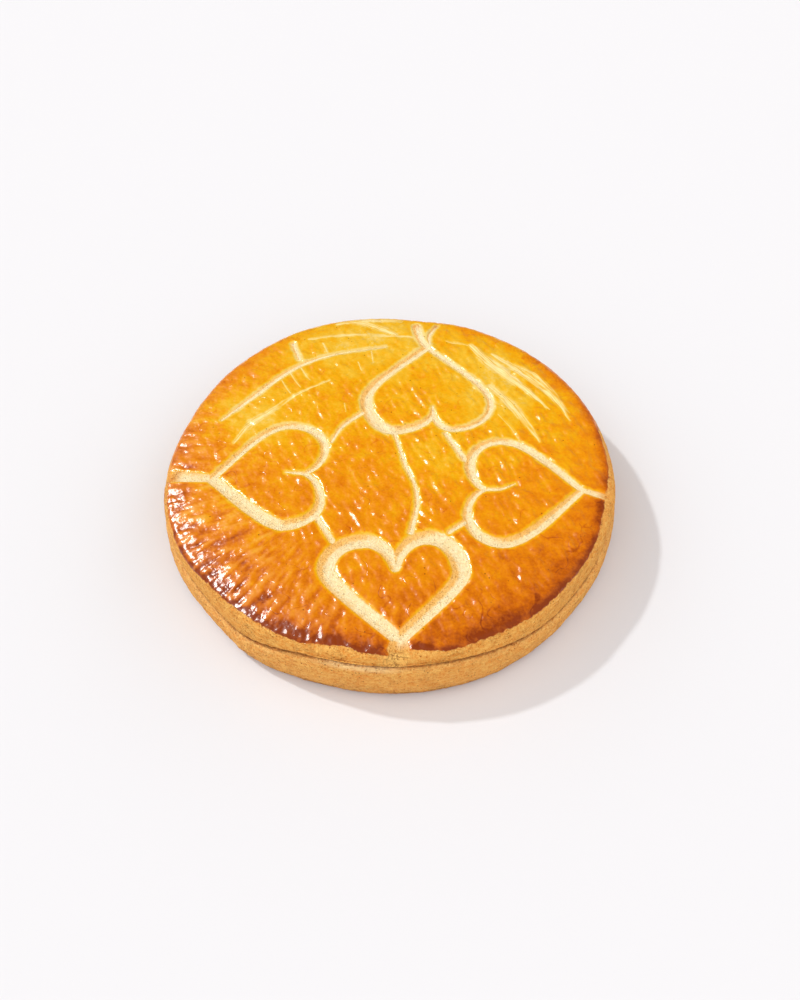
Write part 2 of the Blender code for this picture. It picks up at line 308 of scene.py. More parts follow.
# Marks of the brush and fork where the egg wash is thin, each as its points, widths and strength.
Streak = namedtuple("Streak", "points widths strength")
STREAKS = (
    Streak(((45, 83), (54, 70), (67, 55), (82, 34)), (4, 10, 8, 1), 1),
    Streak(((56, 76), (70, 62), (84, 45), (92, 26)), (2, 7, 6, 1), 1),
    Streak(((64, 71), (77, 60), (85, 47), (92, 32)), (1, 4, 4, 1), 0.9),
    Streak(((53, 52), (62, 39), (70, 24), (75, 12)), (4, 8, 5, 2), 0.9),
    Streak(((56, 31), (62, 21), (65, 13)), (1.6, 3, 1.6), 0.6),
    Streak(((32, 87), (38, 85), (45, 83)), (2, 3, 2), 0.7),
    Streak(((-77, 17), (-70, 29), (-59, 38), (-48, 48), (-30, 59)), (3, 6, 5, 3.5, 2), 0.8),
    Streak(((-27, 104), (-12, 106), (8, 105)), (3, 5, 3), 0.9),
    Streak(((-42, 92), (-20, 94), (14, 91)), (2.4, 3, 2.6), 0.7),
    Streak(((-17, 105), (-10, 103), (5, 93)), (7, 7, 4), 0.9),
)

# Painted glints between the arc and the hearts, drawn as short pale touches, each as its two ends and its
# width.
GLINT_TOUCHES = (
    ((-45, 68), (-40, 59), 2),
    ((-51, 66), (-45, 54), 2.2),
    ((-55, 60), (-50, 50), 2),
    ((-34, 88), (-31, 79), 1.8),
    ((-8, 80), (-7, 71), 1.6),
    ((-15, 72), (-13, 65), 1.8),
    ((-22, 42), (-21, 35), 1.6),
)
TOUCH_STRENGTH = 0.9
TOUCH_TAPER = 0.7
STREAK_STEP = 2.0

# Distances from a stroke are followed no further than this.
FAR = 4.0

# The way to the back left, where the sun stands and which sets the painted shade in the gouges, the way
# that the egg wash was brushed, and the size of its ridges.
BACK_LEFT_AZIMUTH = 149.0
BRUSHED_AZIMUTH = -65.0
BRUSH_RIDGE_LENGTH = 7.0
BRUSH_RIDGE_WIDTH = 2.7


def smooth_step(values, low, high):
    share = np.clip((values - low) / (high - low), 0.0, 1.0)
    return share * share * (3.0 - 2.0 * share)


def level_direction(azimuth):
    """The unit vector that points this way, in degrees, over the floor."""
    return np.array([math.cos(math.radians(azimuth)), math.sin(math.radians(azimuth))])


def bell(distance):
    return np.exp(-(distance**2))


def beside(angles, azimuth, half_width):
    """A smooth bump round the cake, at these angles: 1 at the azimuth, and widths are in degrees."""
    away = (np.degrees(angles) - azimuth + 180.0) % 360.0 - 180.0
    return bell(away / half_width)


def noise_at(points, size, octaves=1):
    """Smooth noise between about -1 and 1 at each point, with features of this size."""
    return np.array(
        [noise.fractal(Vector(point), NOISE_FALL, NOISE_STEP, octaves) for point in points / size]
    )


def rough(points, height, size, octaves=1, shift=0.0):
    """Low relief of this height and size. A shift keeps it apart from other relief of its kind."""
    return height * noise_at(points + shift, size, octaves)


# ---- Form ----


def bumps(angles, waves):
    """The sum of smooth waves round the cake, each an (azimuth, half width, rise), at these angles."""
    return sum(rise * beside(angles, azimuth, half_width) for azimuth, half_width, rise in waves)


def outline_factor(angles):
    """How far the outline stands out of a circle, at these angles, as a factor on the radius."""
    return 1.0 + bumps(angles, OUTLINE_BULGES) / RADIUS


def seam_height(angles):
    return SEAM_MEAN + bumps(angles, SEAM_WAVES)


def bezier(start, start_handle, end_handle, end, count):
    """Places along a Bezier curve, or along many at once where its ends are rows of points."""
    t = np.linspace(0.0, 1.0, count).reshape(-1, *[1] * np.ndim(start))
    return (
        (1 - t) ** 3 * start
        + 3 * (1 - t) ** 2 * t * start_handle
        + 3 * (1 - t) * t**2 * end_handle
        + t**3 * end
    )


def smooth_curve(points, count):
    """A curve through the points, with each tangent set by the point's two neighbours."""
    knots = np.asarray(points, dtype=float)
    tangents = np.gradient(knots, axis=0)
    spans = [
        bezier(a, a + along / 3, b - onward / 3, b, count)[:-1]
        for a, along, b, onward in zip(knots[:-1], tangents[:-1], knots[1:], tangents[1:])
    ]
    return np.vstack(spans + [knots[-1:]])


def evened(points, widths, depth, step):
    """The same stroke with its points a step apart."""
    lengths = np.hypot(*np.diff(points, axis=0).T)
    travelled = np.concatenate([[0.0], np.cumsum(lengths)])
    count = max(3, round(travelled[-1] / step) + 1)
    stops = np.linspace(0.0, travelled[-1], count)
    even = np.column_stack([np.interp(stops, travelled, points[:, axis]) for axis in (0, 1)])
    return Stroke(even, np.interp(stops, travelled, widths), depth)


def heart_stroke(heart, half, step):
    """One side of a heart: out of the cleft, round the lobe, down the side and in to the tip."""
    tip, cleft, lobe, side = (np.array(p) for p in (heart.tip, heart.cleft, half.lobe, half.side))
    along = (cleft - tip) / np.linalg.norm(cleft - tip)
    across = np.array([-along[1], along[0]])
    across *= np.sign(np.dot(side - cleft, across))

    def split(vector):
        return along * np.dot(vector, along), across * np.dot(vector, across)

    rise, reach = split(lobe - cleft)
    out_of_cleft = cleft + CLEFT_RISE * rise + CLEFT_REACH * reach
    cleft_arc = bezier(cleft, out_of_cleft, lobe - LOBE_LEAD * reach, lobe, ARC_POINTS)
    drop, spread = split(side - lobe)
    lobe_arc = bezier(lobe, lobe + LOBE_ROUND * spread, side - LOBE_ROUND * drop, side, ARC_POINTS)
    fall, inward = split(tip - side)
    into_tip = tip - TIP_FALL * fall - TIP_INWARD * inward
    flank = bezier(side, side + half.belly * fall, into_tip, tip, FLANK_POINTS)
    points = np.vstack([cleft_arc, lobe_arc[1:], flank[1:]])
    last = len(points) - 1
    at_lobe = ARC_POINTS - 1
    stops = (0, at_lobe, 2 * at_lobe, 3 * at_lobe, last)
    widths = np.interp(np.arange(last + 1), stops, half.widths)
    return evened(points, widths, HEART_DEPTH, step)


def line_stroke(knots, knot_widths, depth, step):
    points = smooth_curve(knots, LINE_POINTS)
    stops = np.arange(len(knots)) * (LINE_POINTS - 1)
    widths = np.interp(np.arange(len(points)), stops, knot_widths)
    return evened(points, widths, depth, step)


def scored_strokes(step):
    strokes = []
    for heart in HEARTS.values():
        strokes += [heart_stroke(heart, half, step) for half in (heart.first, heart.second)]
    strokes += [line_stroke(*line, step) for line in LINES.values()]
    return strokes


def stroke_spans(stroke, points):
    """For each span: each point's share along it, its way from it, its side of it and the width there."""
    for start, end, width, next_width in zip(
        stroke.points[:-1], stroke.points[1:], stroke.widths[:-1], stroke.widths[1:]
    ):
        run = end - start
        offset = points - start
        share = np.clip(offset @ run / (run @ run), 0.0, 1.0)
        away = offset - share[:, None] * run
        side = np.sign(run[0] * offset[:, 1] - run[1] * offset[:, 0])
        yield share, away, side, width + share * (next_width - width)


# For each point: how deep the strokes cut under it, how far it is outside the nearest one's edge, how
# far from that one's middle, and how squarely its wall there faces the back left, from -1 to 1.
Scored = namedtuple("Scored", "depth outside middle facing")


def scored(points, strokes):
    depth = np.zeros(len(points))
    outside = np.full(len(points), FAR)
    middle = np.full(len(points), FAR)
    facing = np.zeros(len(points))
    for stroke in strokes:
        reach = stroke.widths.max() / 2 + FAR
        low = stroke.points.min(axis=0) - reach
        high = stroke.points.max(axis=0) + reach
        near = np.flatnonzero(((points > low) & (points < high)).all(axis=1))
        for _, away, _, width in stroke_spans(stroke, points[near]):
            distance = np.hypot(*away.T)
            inside = np.clip(1.0 - (2.0 * distance / width) ** 2, 0.0, 1.0)
            depth[near] = np.maximum(depth[near], stroke.depth * width * inside)
            nearer = distance - width / 2 < outside[near]
            changed = near[nearer]
            outside[changed] = (distance - width / 2)[nearer]
            middle[changed] = distance[nearer]
            facing[changed] = -(away @ level_direction(BACK_LEFT_AZIMUTH) / (width / 2))[nearer]
    return Scored(depth, outside, middle, facing)


def lid_polar(points):
    """Each point's angle round the lid's centre, and its radius as a share of the shoulder's."""
    x, y = (points[:, :2] - LID_CENTRE).T
    angles = np.arctan2(y, x)
    return angles, np.hypot(x, y) / (SHOULDER_RADIUS * outline_factor(angles))


def dome_height(points):
    _, share = lid_polar(points)
    return CENTRE_HEIGHT - (CENTRE_HEIGHT - SHOULDER_HEIGHT) * np.clip(share, 0.0, 1.0) ** DOME_POWER


def ring(centre, radius, heights, angles):
    """A closed row of points round the cake."""
    reach = radius * outline_factor(angles)
    return np.column_stack(
        [centre[0] + reach * np.cos(angles), centre[1] + reach * np.sin(angles), heights]
    )


def row_gaps(rows):
    """The mean gap from each row to the next."""
    return np.linalg.norm(np.diff(rows, axis=0), axis=2).mean(axis=1)


def refined(rings, gap):
    """The rings, and more between them on smooth curves through them, about a gap apart."""
    rings = np.array(rings)
    lengths = row_gaps(rings)
    travelled = np.concatenate([[0.0], np.cumsum(lengths)])
    slopes = np.gradient(rings, travelled, axis=0)
    rows = [rings[:1]]
    for i, length in enumerate(lengths):
        steps = max(1, round(length / gap))
        out_of = rings[i] + slopes[i] * length / 3
        into = rings[i + 1] - slopes[i + 1] * length / 3
        rows.append(bezier(rings[i], out_of, into, rings[i + 1], steps + 1)[1:])
    return np.vstack(rows)


def row_normals(rows):
    """Outward normals of rows that run outwards or down, each anticlockwise."""
    round_the_cake = np.roll(rows, -1, axis=1) - np.roll(rows, 1, axis=1)
    down = np.gradient(rows, axis=0)
    normals = np.cross(down, round_the_cake)
    return normals / np.linalg.norm(normals, axis=2, keepdims=True)


def row_faces(count):
    """Quads between this many rows of ROUND points."""
    here = np.arange(ROUND)
    onward = (here + 1) % ROUND
    faces = []
    for upper in range(0, (count - 1) * ROUND, ROUND):
        lower = upper + ROUND
        faces.append(np.column_stack([upper + here, lower + here, lower + onward, upper + onward]))
    return np.vstack(faces)


# A piece's surface before its relief: its points, outward normals, faces, each point's angle round the
# cake and its travel.
Skin = namedtuple("Skin", "points normals faces angles travel")


def lid_rows(angles, strokes):
    """The lid's rows from its top edge over the shoulder and down to its lip, and one inside."""
    edge = ring(LID_CENTRE, SHOULDER_RADIUS, np.zeros_like(angles), angles)
    notch = scored(edge[:, :2], strokes).depth
    edge[:, 2] = dome_height(edge[:, :2]) - notch
    rings = [edge]
    for turn in SHOULDER_TURN:
        sine = math.sin(math.radians(turn))
        cosine = math.cos(math.radians(turn))
        cut = notch * cosine
        radius = SHOULDER_RADIUS + SHOULDER_OUT * sine - cut * sine
        height = SHOULDER_HEIGHT - SHOULDER_DOWN * (1.0 - cosine) - cut * cosine
        rings.append(ring(LID_CENTRE, radius, height, angles))
    seam = seam_height(angles) + LAYER_GAP
    rings += [ring(SEAM_CENTRE, RADIUS - inset, seam + above, angles) for inset, above in LID_LIP]
    inner = ring(SEAM_CENTRE, PLANE_RADIUS, np.full_like(angles, PLANE_HEIGHT + LAYER_GAP), angles)
    return np.concatenate([refined(rings, SIDE_GAP), inner[None]])


def stroke_points(strokes):
    """Points in lines along each stroke: its middle, up its walls, its edges and just outside them."""
    lines = []
    for stroke in strokes:
        heading = np.gradient(stroke.points, axis=0)
        heading /= np.linalg.norm(heading, axis=1)[:, None]
        sideways = np.column_stack([-heading[:, 1], heading[:, 0]]) * stroke.widths[:, None] / 2
        lines += [stroke.points + share * sideways for share in STROKE_SHARES]
    points = np.vstack(lines)
    cells = np.floor(points / THINNING).astype(int)
    _, first = np.unique(cells, axis=0, return_index=True)
    return points[np.sort(first)]


def lattice():
    """A triangular grid of points over the lid's top."""
    row_gap = LID_GAP * math.sqrt(0.75)
    reach = SHOULDER_RADIUS * LATTICE_REACH
    rows = np.arange(-int(reach / row_gap), int(reach / row_gap) + 1)
    columns = np.arange(-int(reach / LID_GAP), int(reach / LID_GAP) + 1)
    row, column = np.meshgrid(rows, columns)
    return np.column_stack([((column + 0.5 * (row % 2)) * LID_GAP).ravel(), (row * row_gap).ravel()])


def clear_of(points, others, gap):
    """The points that are at least a gap from every other."""
    tree = kdtree.KDTree(len(others))
    for i, (x, y) in enumerate(others):
        tree.insert((x, y, 0.0), i)
    tree.balance()
    return points[[tree.find((x, y, 0.0))[2] >= gap for x, y in points]]


def lid_top(edge, strokes):
    """The lid's top within its edge: points whose lines follow the strokes, and their triangles."""
    within = 1.0 - LID_GAP / SHOULDER_RADIUS
    marked = stroke_points(strokes)
    marked = marked[lid_polar(marked)[1] < within]
    filler = lattice()
    filler = clear_of(filler[lid_polar(filler)[1] < within], marked, STROKE_CLEAR)
    flat = [tuple(point) for point in np.vstack([edge, marked, filler])]
    rim = [(i, (i + 1) % ROUND) for i in range(ROUND)]
    corners, _, triangles, *_ = delaunay_2d_cdt(flat, rim, [], INSIDE_RIM, MERGED)
    top = np.array([tuple(corner) for corner in corners])
    return np.column_stack([top, dome_height(top) - scored(top, strokes).depth]), list(triangles)


def lid_skin(strokes):
    """The lid: a fine mesh over its top, and rows down its side."""
    angles = np.linspace(-math.pi, math.pi, ROUND, endpoint=False)
    rows = lid_rows(angles, strokes)
    top, faces = lid_top(rows[0, :, :2], strokes)
    side = rows[1:].reshape(-1, 3)
    top_angles, share = lid_polar(top)
    side_travel = SHOULDER_RADIUS + np.repeat(np.cumsum(row_gaps(rows)), ROUND)
    up = np.tile((0.0, 0.0, 1.0), (len(top), 1))
    side_normals = row_normals(rows)[1:].reshape(-1, 3)
    numbers = np.concatenate([np.arange(ROUND), len(top) + np.arange(len(side))])
    faces += numbers[row_faces(len(rows))].tolist()
    faces.append(numbers[-ROUND:][::-1].tolist())
    return Skin(
        np.vstack([top, side]),
        np.vstack([up, side_normals]),
        faces,
        np.concatenate([top_angles, np.tile(angles, len(rows) - 1)]),
        np.concatenate([share * SHOULDER_RADIUS, side_travel]),
    )


def crust_skin():
    """The lower crust: rows from inside its lip, out and down its side, and in under its foot."""
    angles = np.linspace(-math.pi, math.pi, ROUND, endpoint=False)
    seam = seam_height(angles)
    rings = [ring(CRUST_CENTRE, RADIUS - inset, share * seam, angles) for inset, share in CRUST_SIDE]
    rings += [ring(SEAM_CENTRE, RADIUS - inset, seam - under, angles) for inset, under in CRUST_LIP]
    inner = ring(SEAM_CENTRE, PLANE_RADIUS, np.full_like(angles, PLANE_HEIGHT), angles)
    rows = np.concatenate([inner[None], refined(rings, SIDE_GAP)[::-1]])
    rows[-1, :, 2] = 0.0
    faces = row_faces(len(rows)).tolist()
    faces.insert(0, list(range(ROUND)))
    last = (len(rows) - 1) * ROUND
    faces.append(list(range(last, last + ROUND))[::-1])
    points = rows.reshape(-1, 3)
    under_seam = np.tile(seam, len(rows)) - points[:, 2]
    return Skin(
        points, row_normals(rows).reshape(-1, 3), faces, np.tile(angles, len(rows)), under_seam
    )


# ---- What lies on the form: relief, bake and brush marks ----


def glaze_inside(skin):
    """How far each point of the lid lies inside the edge of its glaze."""
    return GLAZE_TRAVEL + bumps(skin.angles, GLAZE_WAVES) - skin.travel


def spokes(skin, across, along):
    """Coordinates for radial marks: features span this far round the rim and this far outwards."""
    turns = SHOULDER_RADIUS / across
    return np.column_stack(
        [turns * np.cos(skin.angles), turns * np.sin(skin.angles), skin.travel / along]
    )


def wrinkled(skin):
    """How strongly the skin is wrinkled outwards: most at the left and front left, near the rim."""
    outer = smooth_step(skin.travel, *WRINKLES_SET_IN) * (1.0 - smooth_step(skin.travel, *WRINKLES_END))
    strong = beside(skin.angles, *WRINKLED_SIDE)
    return outer * (LEAST_WRINKLED + (1.0 - LEAST_WRINKLED) * strong)


def ridges(skin):
    """The skin's radial wrinkles, from trough to crest."""
    rays = rough(spokes(skin, across=3.4, along=9.0), height=1.0, size=1.0, octaves=2, shift=7.0)
    return wrinkled(skin) * rays


def puckered(skin):
    """How finely the skin is puckered: along the lid's edge, at the left and front left."""
    travel, half_width = PUCKERS
    return beside(skin.angles, *PUCKERED_SIDE) * bell((skin.travel - travel) / half_width)


def rolled_down(skin):
    """How far the lid's edge is rolled down before its shoulder, at the left and front left."""
    over = np.clip(skin.travel - ROLL_START, 0.0, ROLL_REACH)
    rolled = beside(skin.angles, *ROLLED_SIDE) * ROLL_DROP * over**2
    return rolled * (1.0 - smooth_step(skin.travel, *ROLL_ENDS))


def brush_ridges(points):
    """Long low ridges along the way that the egg wash was brushed."""
    flat = points[:, :2]
    along = flat @ level_direction(BRUSHED_AZIMUTH) / BRUSH_RIDGE_LENGTH
    across = flat @ level_direction(BRUSHED_AZIMUTH + 90.0) / BRUSH_RIDGE_WIDTH
    return noise_at(np.column_stack([along, across, points[:, 2] / BRUSH_RIDGE_WIDTH]), 1.0)


def glazed_relief(skin, wrinkles, outside, pillow):
    """The glazed skin's relief, rounded off at the gouges. It is brushed most at the right."""
    strokes = BRUSH_RIDGE_HEIGHT * brush_ridges(skin.points)
    strokes += rough(skin.points, height=0.40, size=3.2, shift=90.0)
    calm = (1.0 - 0.70 * wrinkled(skin)) * (1.0 - 0.7 * smooth_step(skin.travel, *BRUSHING_ENDS))
    brushed = strokes * calm * (1.0 + 0.0035 * skin.points[:, 0])
    puckers = rough(spokes(skin, across=1.7, along=2.8), height=0.28, size=1.0, shift=60.0)
    rounded = ROUNDING_DEPTH * np.exp(-np.maximum(outside, 0.0) / ROUNDING_REACH)
    raised = pillow + WRINKLE_HEIGHT * wrinkles + puckered(skin) * puckers + brushed
    return raised - rounded - rolled_down(skin)


def bare_relief(points, pillow, above_seam):
    """The bare dough's relief: sunken and crumbly, with an uneven lip at the seam."""
    lip = bell((above_seam - 0.6) / 1.3) * (rough(points, height=0.40, size=2.6, shift=20.0) - 0.20)
    return 0.6 * pillow + rough(points, height=0.14, size=2.4, octaves=2) - BARE_DEPTH + lip


def lid_relief(skin, wrinkles, outside, bare, above_seam):
    """How far the lid's skin stands out from its form."""
    points = skin.points
    pillow = rough(points, height=0.30, size=24.0) + rough(points, height=0.14, size=9.0, shift=50.0)
    glazed = glazed_relief(skin, wrinkles, outside, pillow)
    return glazed + bare * (bare_relief(points, pillow, above_seam) - glazed)


def crust_relief(skin):
    """How far the lower crust stands out from its form: lumps, crumb and a nibbled lip."""
    points = skin.points
    foot = smooth_step(points[:, 2], 0.3, 2.5)
    lumps = rough(points, height=0.35, size=14.0) + rough(points, height=0.22, size=5.0, octaves=2)
    crumbs = rough(points, height=0.16, size=2.0, octaves=2)
    lip = bell((skin.travel - 0.8) / 1.6) * rough(points, height=0.45, size=2.6, shift=20.0)
    return foot * (lumps + crumbs + lip)


def bake(skin):
    """How brown the glaze is baked, from 0, pale yellow, to 1, dark brown: more to the front and rim."""
    x, y = skin.points[:, 0], skin.points[:, 1]
    depth = 0.46 - 0.0019 * y
    depth += 0.08 * smooth_step(skin.travel, *FRONT_BAKES) * (1.0 - smooth_step(y, -20.0, 60.0))
    depth += 0.11 * smooth_step(skin.travel, *RIM_BAKES)
    for centre_x, centre_y, reach, amount in BAKE_PATCHES:
        depth += amount * bell(np.hypot(x - centre_x, y - centre_y) / reach)
    return depth


def browned(skin, inside):
    """How much browner than its bake the glaze is along its edge."""
    total = np.zeros(len(inside))
    for azimuth, half_width, depth, half_depth, strength in BROWNED:
        along = beside(skin.angles, azimuth, half_width)
        total = np.maximum(total, strength * along * bell((inside - depth) / half_depth))
    return total


def touch_streak(start, end, width):
    """A short streak between two points, widest in its middle."""
    middle = tuple(np.add(start, end) / 2)
    narrow = TOUCH_TAPER * width
    return Streak((start, middle, end), (narrow, width, narrow), TOUCH_STRENGTH)


def brush_marks_and_glints(points):
    """For each point: how far along and across the nearest streak it is, and the streak's strength."""
    marks = np.zeros((len(points), 3))
    for streak in STREAKS + tuple(touch_streak(*touch) for touch in GLINT_TOUCHES):
        stroke = line_stroke(streak.points, streak.widths, depth=0.0, step=STREAK_STEP)
        step = np.linalg.norm(stroke.points[1] - stroke.points[0])
        for i, (share, away, side, width) in enumerate(stroke_spans(stroke, points)):
            distance = np.hypot(*away.T)
            fade = streak.strength * np.clip(1.0 - (2.0 * distance / width) ** 2, 0.0, 1.0)
            nearer = fade > marks[:, 2]
            found = np.column_stack([(i + share) * step, side * distance, fade])
            marks[nearer] = found[nearer]
    return marks


# ---- Materials ----

# A level surface of reflectance 1 shows this bright under the studio's light.
LEVEL_LIGHT = 1.30


def paint(red, green, blue):
    """The reflectance of a level surface that shows as this sRGB colour, from 0 to 255."""
    shown = np.array([red, green, blue]) / 255.0
    linear = np.where(shown > 0.04045, ((shown + 0.055) / 1.055) ** 2.4, shown / 12.92)
    return (*(linear / LEVEL_LIGHT), 1.0)


class Nodes:
    """Builds a node tree, so that it reads as a formula."""

    def __init__(self, tree):
        self.tree = tree

    def feed(self, socket, value):
        if isinstance(value, bpy.types.NodeSocket):
            self.tree.links.new(value, socket)
        else:
            socket.default_value = value

    def make(self, kind, inputs=(), output=0, **settings):
        """A new node with these settings and inputs, as the output that is wanted."""
        node = self.tree.nodes.new(kind)
        for name, value in settings.items():
            setattr(node, name, value)
        for name, value in dict(inputs).items():
            self.feed(node.inputs[name], value)
        return node.outputs[output]

    def number(self, operation, *values):
        return self.make("ShaderNodeMath", enumerate(values), operation=operation)

    def total(self, *values):
        return reduce(partial(self.number, "ADD"), values)

    def times(self, *values):
        return reduce(partial(self.number, "MULTIPLY"), values)

    def attribute(self, name, output="Fac"):
        return self.make("ShaderNodeAttribute", output=output, attribute_name=name)

    def between(self, value, low, high, bottom=0.0, top=1.0):
        """A smooth change from bottom to top as the value goes from low to high."""
        inputs = {"Value": value, "From Min": low, "From Max": high, "To Min": bottom, "To Max": top}
        return self.make("ShaderNodeMapRange", inputs, interpolation_type="SMOOTHSTEP")

    def mixed(self, share, a, b):
        return self.make("ShaderNodeMix", {0: share, 6: a, 7: b}, 2, data_type="RGBA")

    def mixed_number(self, share, a, b):
        return self.make("ShaderNodeMix", {0: share, 2: a, 3: b}, data_type="FLOAT")

    def ramp(self, value, stops):
        colour = self.make("ShaderNodeValToRGB", {0: value})
        elements = colour.node.color_ramp.elements
        elements.remove(elements[1])
        elements[0].position, elements[0].color = stops[0]
        for position, stop in stops[1:]:
            elements.new(position).color = stop
        return colour

    def off_middle(self, value):
        """0 along the winding lines where a noise is at its middle, and rising to 1 away from them."""
        return self.number("ABSOLUTE", self.total(self.times(value, 2.0), -1.0))


class MaterialNodes(Nodes):
    """The nodes of a new material, with the place on its object. Lengths are in mm."""

    def __init__(self, name):
        self.material = bpy.data.materials.new(name)
        self.material.use_nodes = True
        super().__init__(self.material.node_tree)
        self.shader = self.tree.nodes["Principled BSDF"].inputs
        place = self.make("ShaderNodeTexCoord", output="Object")
        self.place = self.stretched(place, 3 * (1.0 / MM,))

    def stretched(self, place, factors):
        return self.make("ShaderNodeVectorMath", {0: place, 1: factors}, operation="MULTIPLY")

    def upright(self, factor):
        """The place with its height times this, so that features are less tall by as much."""
        return self.stretched(self.place, (1.0, 1.0, factor))

    def noise(self, size, detail=2.0, roughness=0.5, place=None):
        """Noise from 0 to 1, with features of this size."""
        inputs = {"Scale": 1.0 / size, "Detail": detail, "Roughness": roughness}
        inputs["Vector"] = self.place if place is None else place
        return self.make("ShaderNodeTexNoise", inputs, "Fac")

    def centred(self, size, detail=3.0):
        """Noise from -0.5 to 0.5, with features of this size."""
        return self.total(self.noise(size, detail=detail), -0.5)

    def spots(self, spacing, radius, share):
        """1 in round spots of this radius, in this share of the cells, else 0."""
        inputs = {"Vector": self.place, "Scale": 1.0 / spacing}
        distance = self.make("ShaderNodeTexVoronoi", inputs, "Distance")
        near = self.between(distance, 1.4 * radius / spacing, 0.6 * radius / spacing)
        chance = self.make("ShaderNodeSeparateColor", {0: distance.node.outputs["Color"]})
        return self.times(near, self.number("LESS_THAN", chance, share))

    def bump(self, height):
        """A normal for a relief of this height."""
        return self.make("ShaderNodeBump", {"Strength": 1.0, "Distance": MM, "Height": height})


# The glaze's colour from where it is thin to where it is burnt.
GLAZE_TONES = (
    (0.00, paint(254, 220, 126)),
    (0.20, paint(253, 197, 48)),
    (0.35, paint(252, 180, 6)),
    (0.50, paint(248, 154, 2)),
    (0.65, paint(236, 132, 2)),
    (0.80, paint(210, 104, 4)),
    (0.92, paint(176, 80, 8)),
    (1.00, paint(150, 60, 8)),
)
# Painted sheen on the crests of the skin's wrinkles.
PAINTED_SHEEN = paint(246, 162, 84)
SPECK = paint(95, 45, 12)
SIDE_SPECK = paint(140, 70, 22)
CREAM = (0.97, 0.82, 0.50, 1.0)
# Pale thin egg wash, also painted into the touches as glints.
THIN_WASH_AND_GLINT = (0.97, 0.76, 0.36, 1.0)
CREAM_SHADE = (0.93, 0.68, 0.32, 1.0)
# Painted shade: the tan of the gouges' walls that face away from the sun, plain and darker with the grain.
PAINTED_SHADE_TAN = (0.95, 0.57, 0.16, 1.0)
PAINTED_SHADE_TAN_DARK = (0.85, 0.41, 0.08, 1.0)
SANDY = (0.84, 0.47, 0.115, 1.0)
SANDY_DARK = (0.69, 0.245, 0.035, 1.0)
# Painted light: the pale of the lower crust's lip under the seam.
LIP_PAINTED_LIGHT = (0.97, 0.66, 0.29, 1.0)
NOTCH_DOUGH = (0.93, 0.58, 0.16, 1.0)
SANDY_FOOT = (0.42, 0.150, 0.028, 1.0)
# Dark brown painted into the seam and the cracks as their shade.
PAINTED_CREVICE_SHADE = paint(138, 62, 16)

DOUGH_ROUGHNESS = 0.85
GLAZE_ROUGHNESS = 0.36

# How high and deep the materials' fine relief is.
PIMPLE_HEIGHT = 0.28
RAY_HEIGHT = 0.22
CREASE_DEPTH = 0.06
GLAZE_THICKNESS = 0.10
GRAIN_HEIGHT = 0.30
PATCH_HEIGHT = 0.32
PIT_DEPTH = 0.30
TEAR_DEPTH = 0.14
LID_CRACK_DEPTH = 0.25
CRUST_CRACK_DEPTH = 0.3

# The strands in a brush mark.
STRAND_LENGTH = 15.0
STRAND_WIDTH = 0.8


def crumb(nodes):
    """Bare dough: its relief in millimetres, a grain from 0 to 1 for its colour, and its dark specks."""
    grain = nodes.between(nodes.noise(0.9, detail=2.0, roughness=0.7), 0.34, 0.66)
    patches = nodes.between(nodes.noise(3.6, detail=3.0, place=nodes.upright(2.6)), 0.32, 0.68)
    pits = nodes.spots(1.2, 0.34, 0.45)
    height = nodes.total(
        nodes.times(grain, GRAIN_HEIGHT), nodes.times(patches, PATCH_HEIGHT), nodes.times(pits, -PIT_DEPTH)
    )
    tone = nodes.total(nodes.times(grain, 0.55), nodes.times(patches, 0.45), nodes.times(pits, -0.45))
    return height, tone, nodes.spots(1.5, 0.30, 0.24)


def seam_painted_shade(nodes):
    """Where the crack between the two layers is painted with shade: 1 in it, fading unevenly out of it."""
    uneven = nodes.times(nodes.centred(2.2), 1.3)
    return nodes.between(nodes.total(nodes.attribute("seam"), uneven), 0.9, 0.2)


def side_cracks(nodes, gate):
    """Thin cracks that run round the side, and are open where the gate is."""
    crack = nodes.off_middle(nodes.noise(3.4, detail=3.0, roughness=0.6, place=nodes.upright(3.0)))
    patchy = nodes.between(nodes.noise(7.0, detail=1.0), 0.42, 0.56)
    return nodes.times(nodes.between(crack, 0.09, 0.0), gate, patchy)


def glaze_cover(nodes, ragged):
    """Where the glaze is whole: off the gouges, thinning over their edges, and inside its ragged edge."""
    whole = nodes.total(nodes.attribute("outside"), nodes.times(ragged, 0.9))
    reached = nodes.total(nodes.attribute("inside"), nodes.times(nodes.centred(2.8), 2.6))
    return nodes.times(nodes.between(whole, -0.85, 0.05), nodes.between(reached, -0.30, 0.35))


def glaze_skin(nodes):
    """The glaze's relief, of fine pimples, thin creases and radial rays, and then its creases and rays."""
    winding = nodes.off_middle(nodes.noise(13.0, detail=1.0))
    creased = nodes.times(nodes.between(winding, 0.030, 0.0), nodes.between(nodes.noise(9.0), 0.50, 0.60))
    rays = nodes.noise(1.0, detail=1.0, place=nodes.attribute("spokes", "Vector"))
    height = nodes.total(
        nodes.times(nodes.noise(2.6, detail=1.0), PIMPLE_HEIGHT),
        nodes.times(creased, -CREASE_DEPTH),
        nodes.times(rays, nodes.attribute("wrinkled"), RAY_HEIGHT),
    )
    return height, creased, rays


def brush_strands_and_glints(nodes):
    """How thin the egg wash is, in strands along the marks of the brush and fork, and how pale the touches
    are, which are painted glints.
    """
    marks = nodes.make("ShaderNodeSeparateXYZ", {0: nodes.attribute("brushed", "Vector")})
    along, across, strength = marks.node.outputs
    stretched = {0: nodes.times(along, 1.0 / STRAND_LENGTH), 1: nodes.times(across, 1.0 / STRAND_WIDTH)}
    strands = nodes.noise(1.0, place=nodes.make("ShaderNodeCombineXYZ", stretched))
    return nodes.times(nodes.between(strands, 0.32, 0.66, 0.30, 0.95), strength)


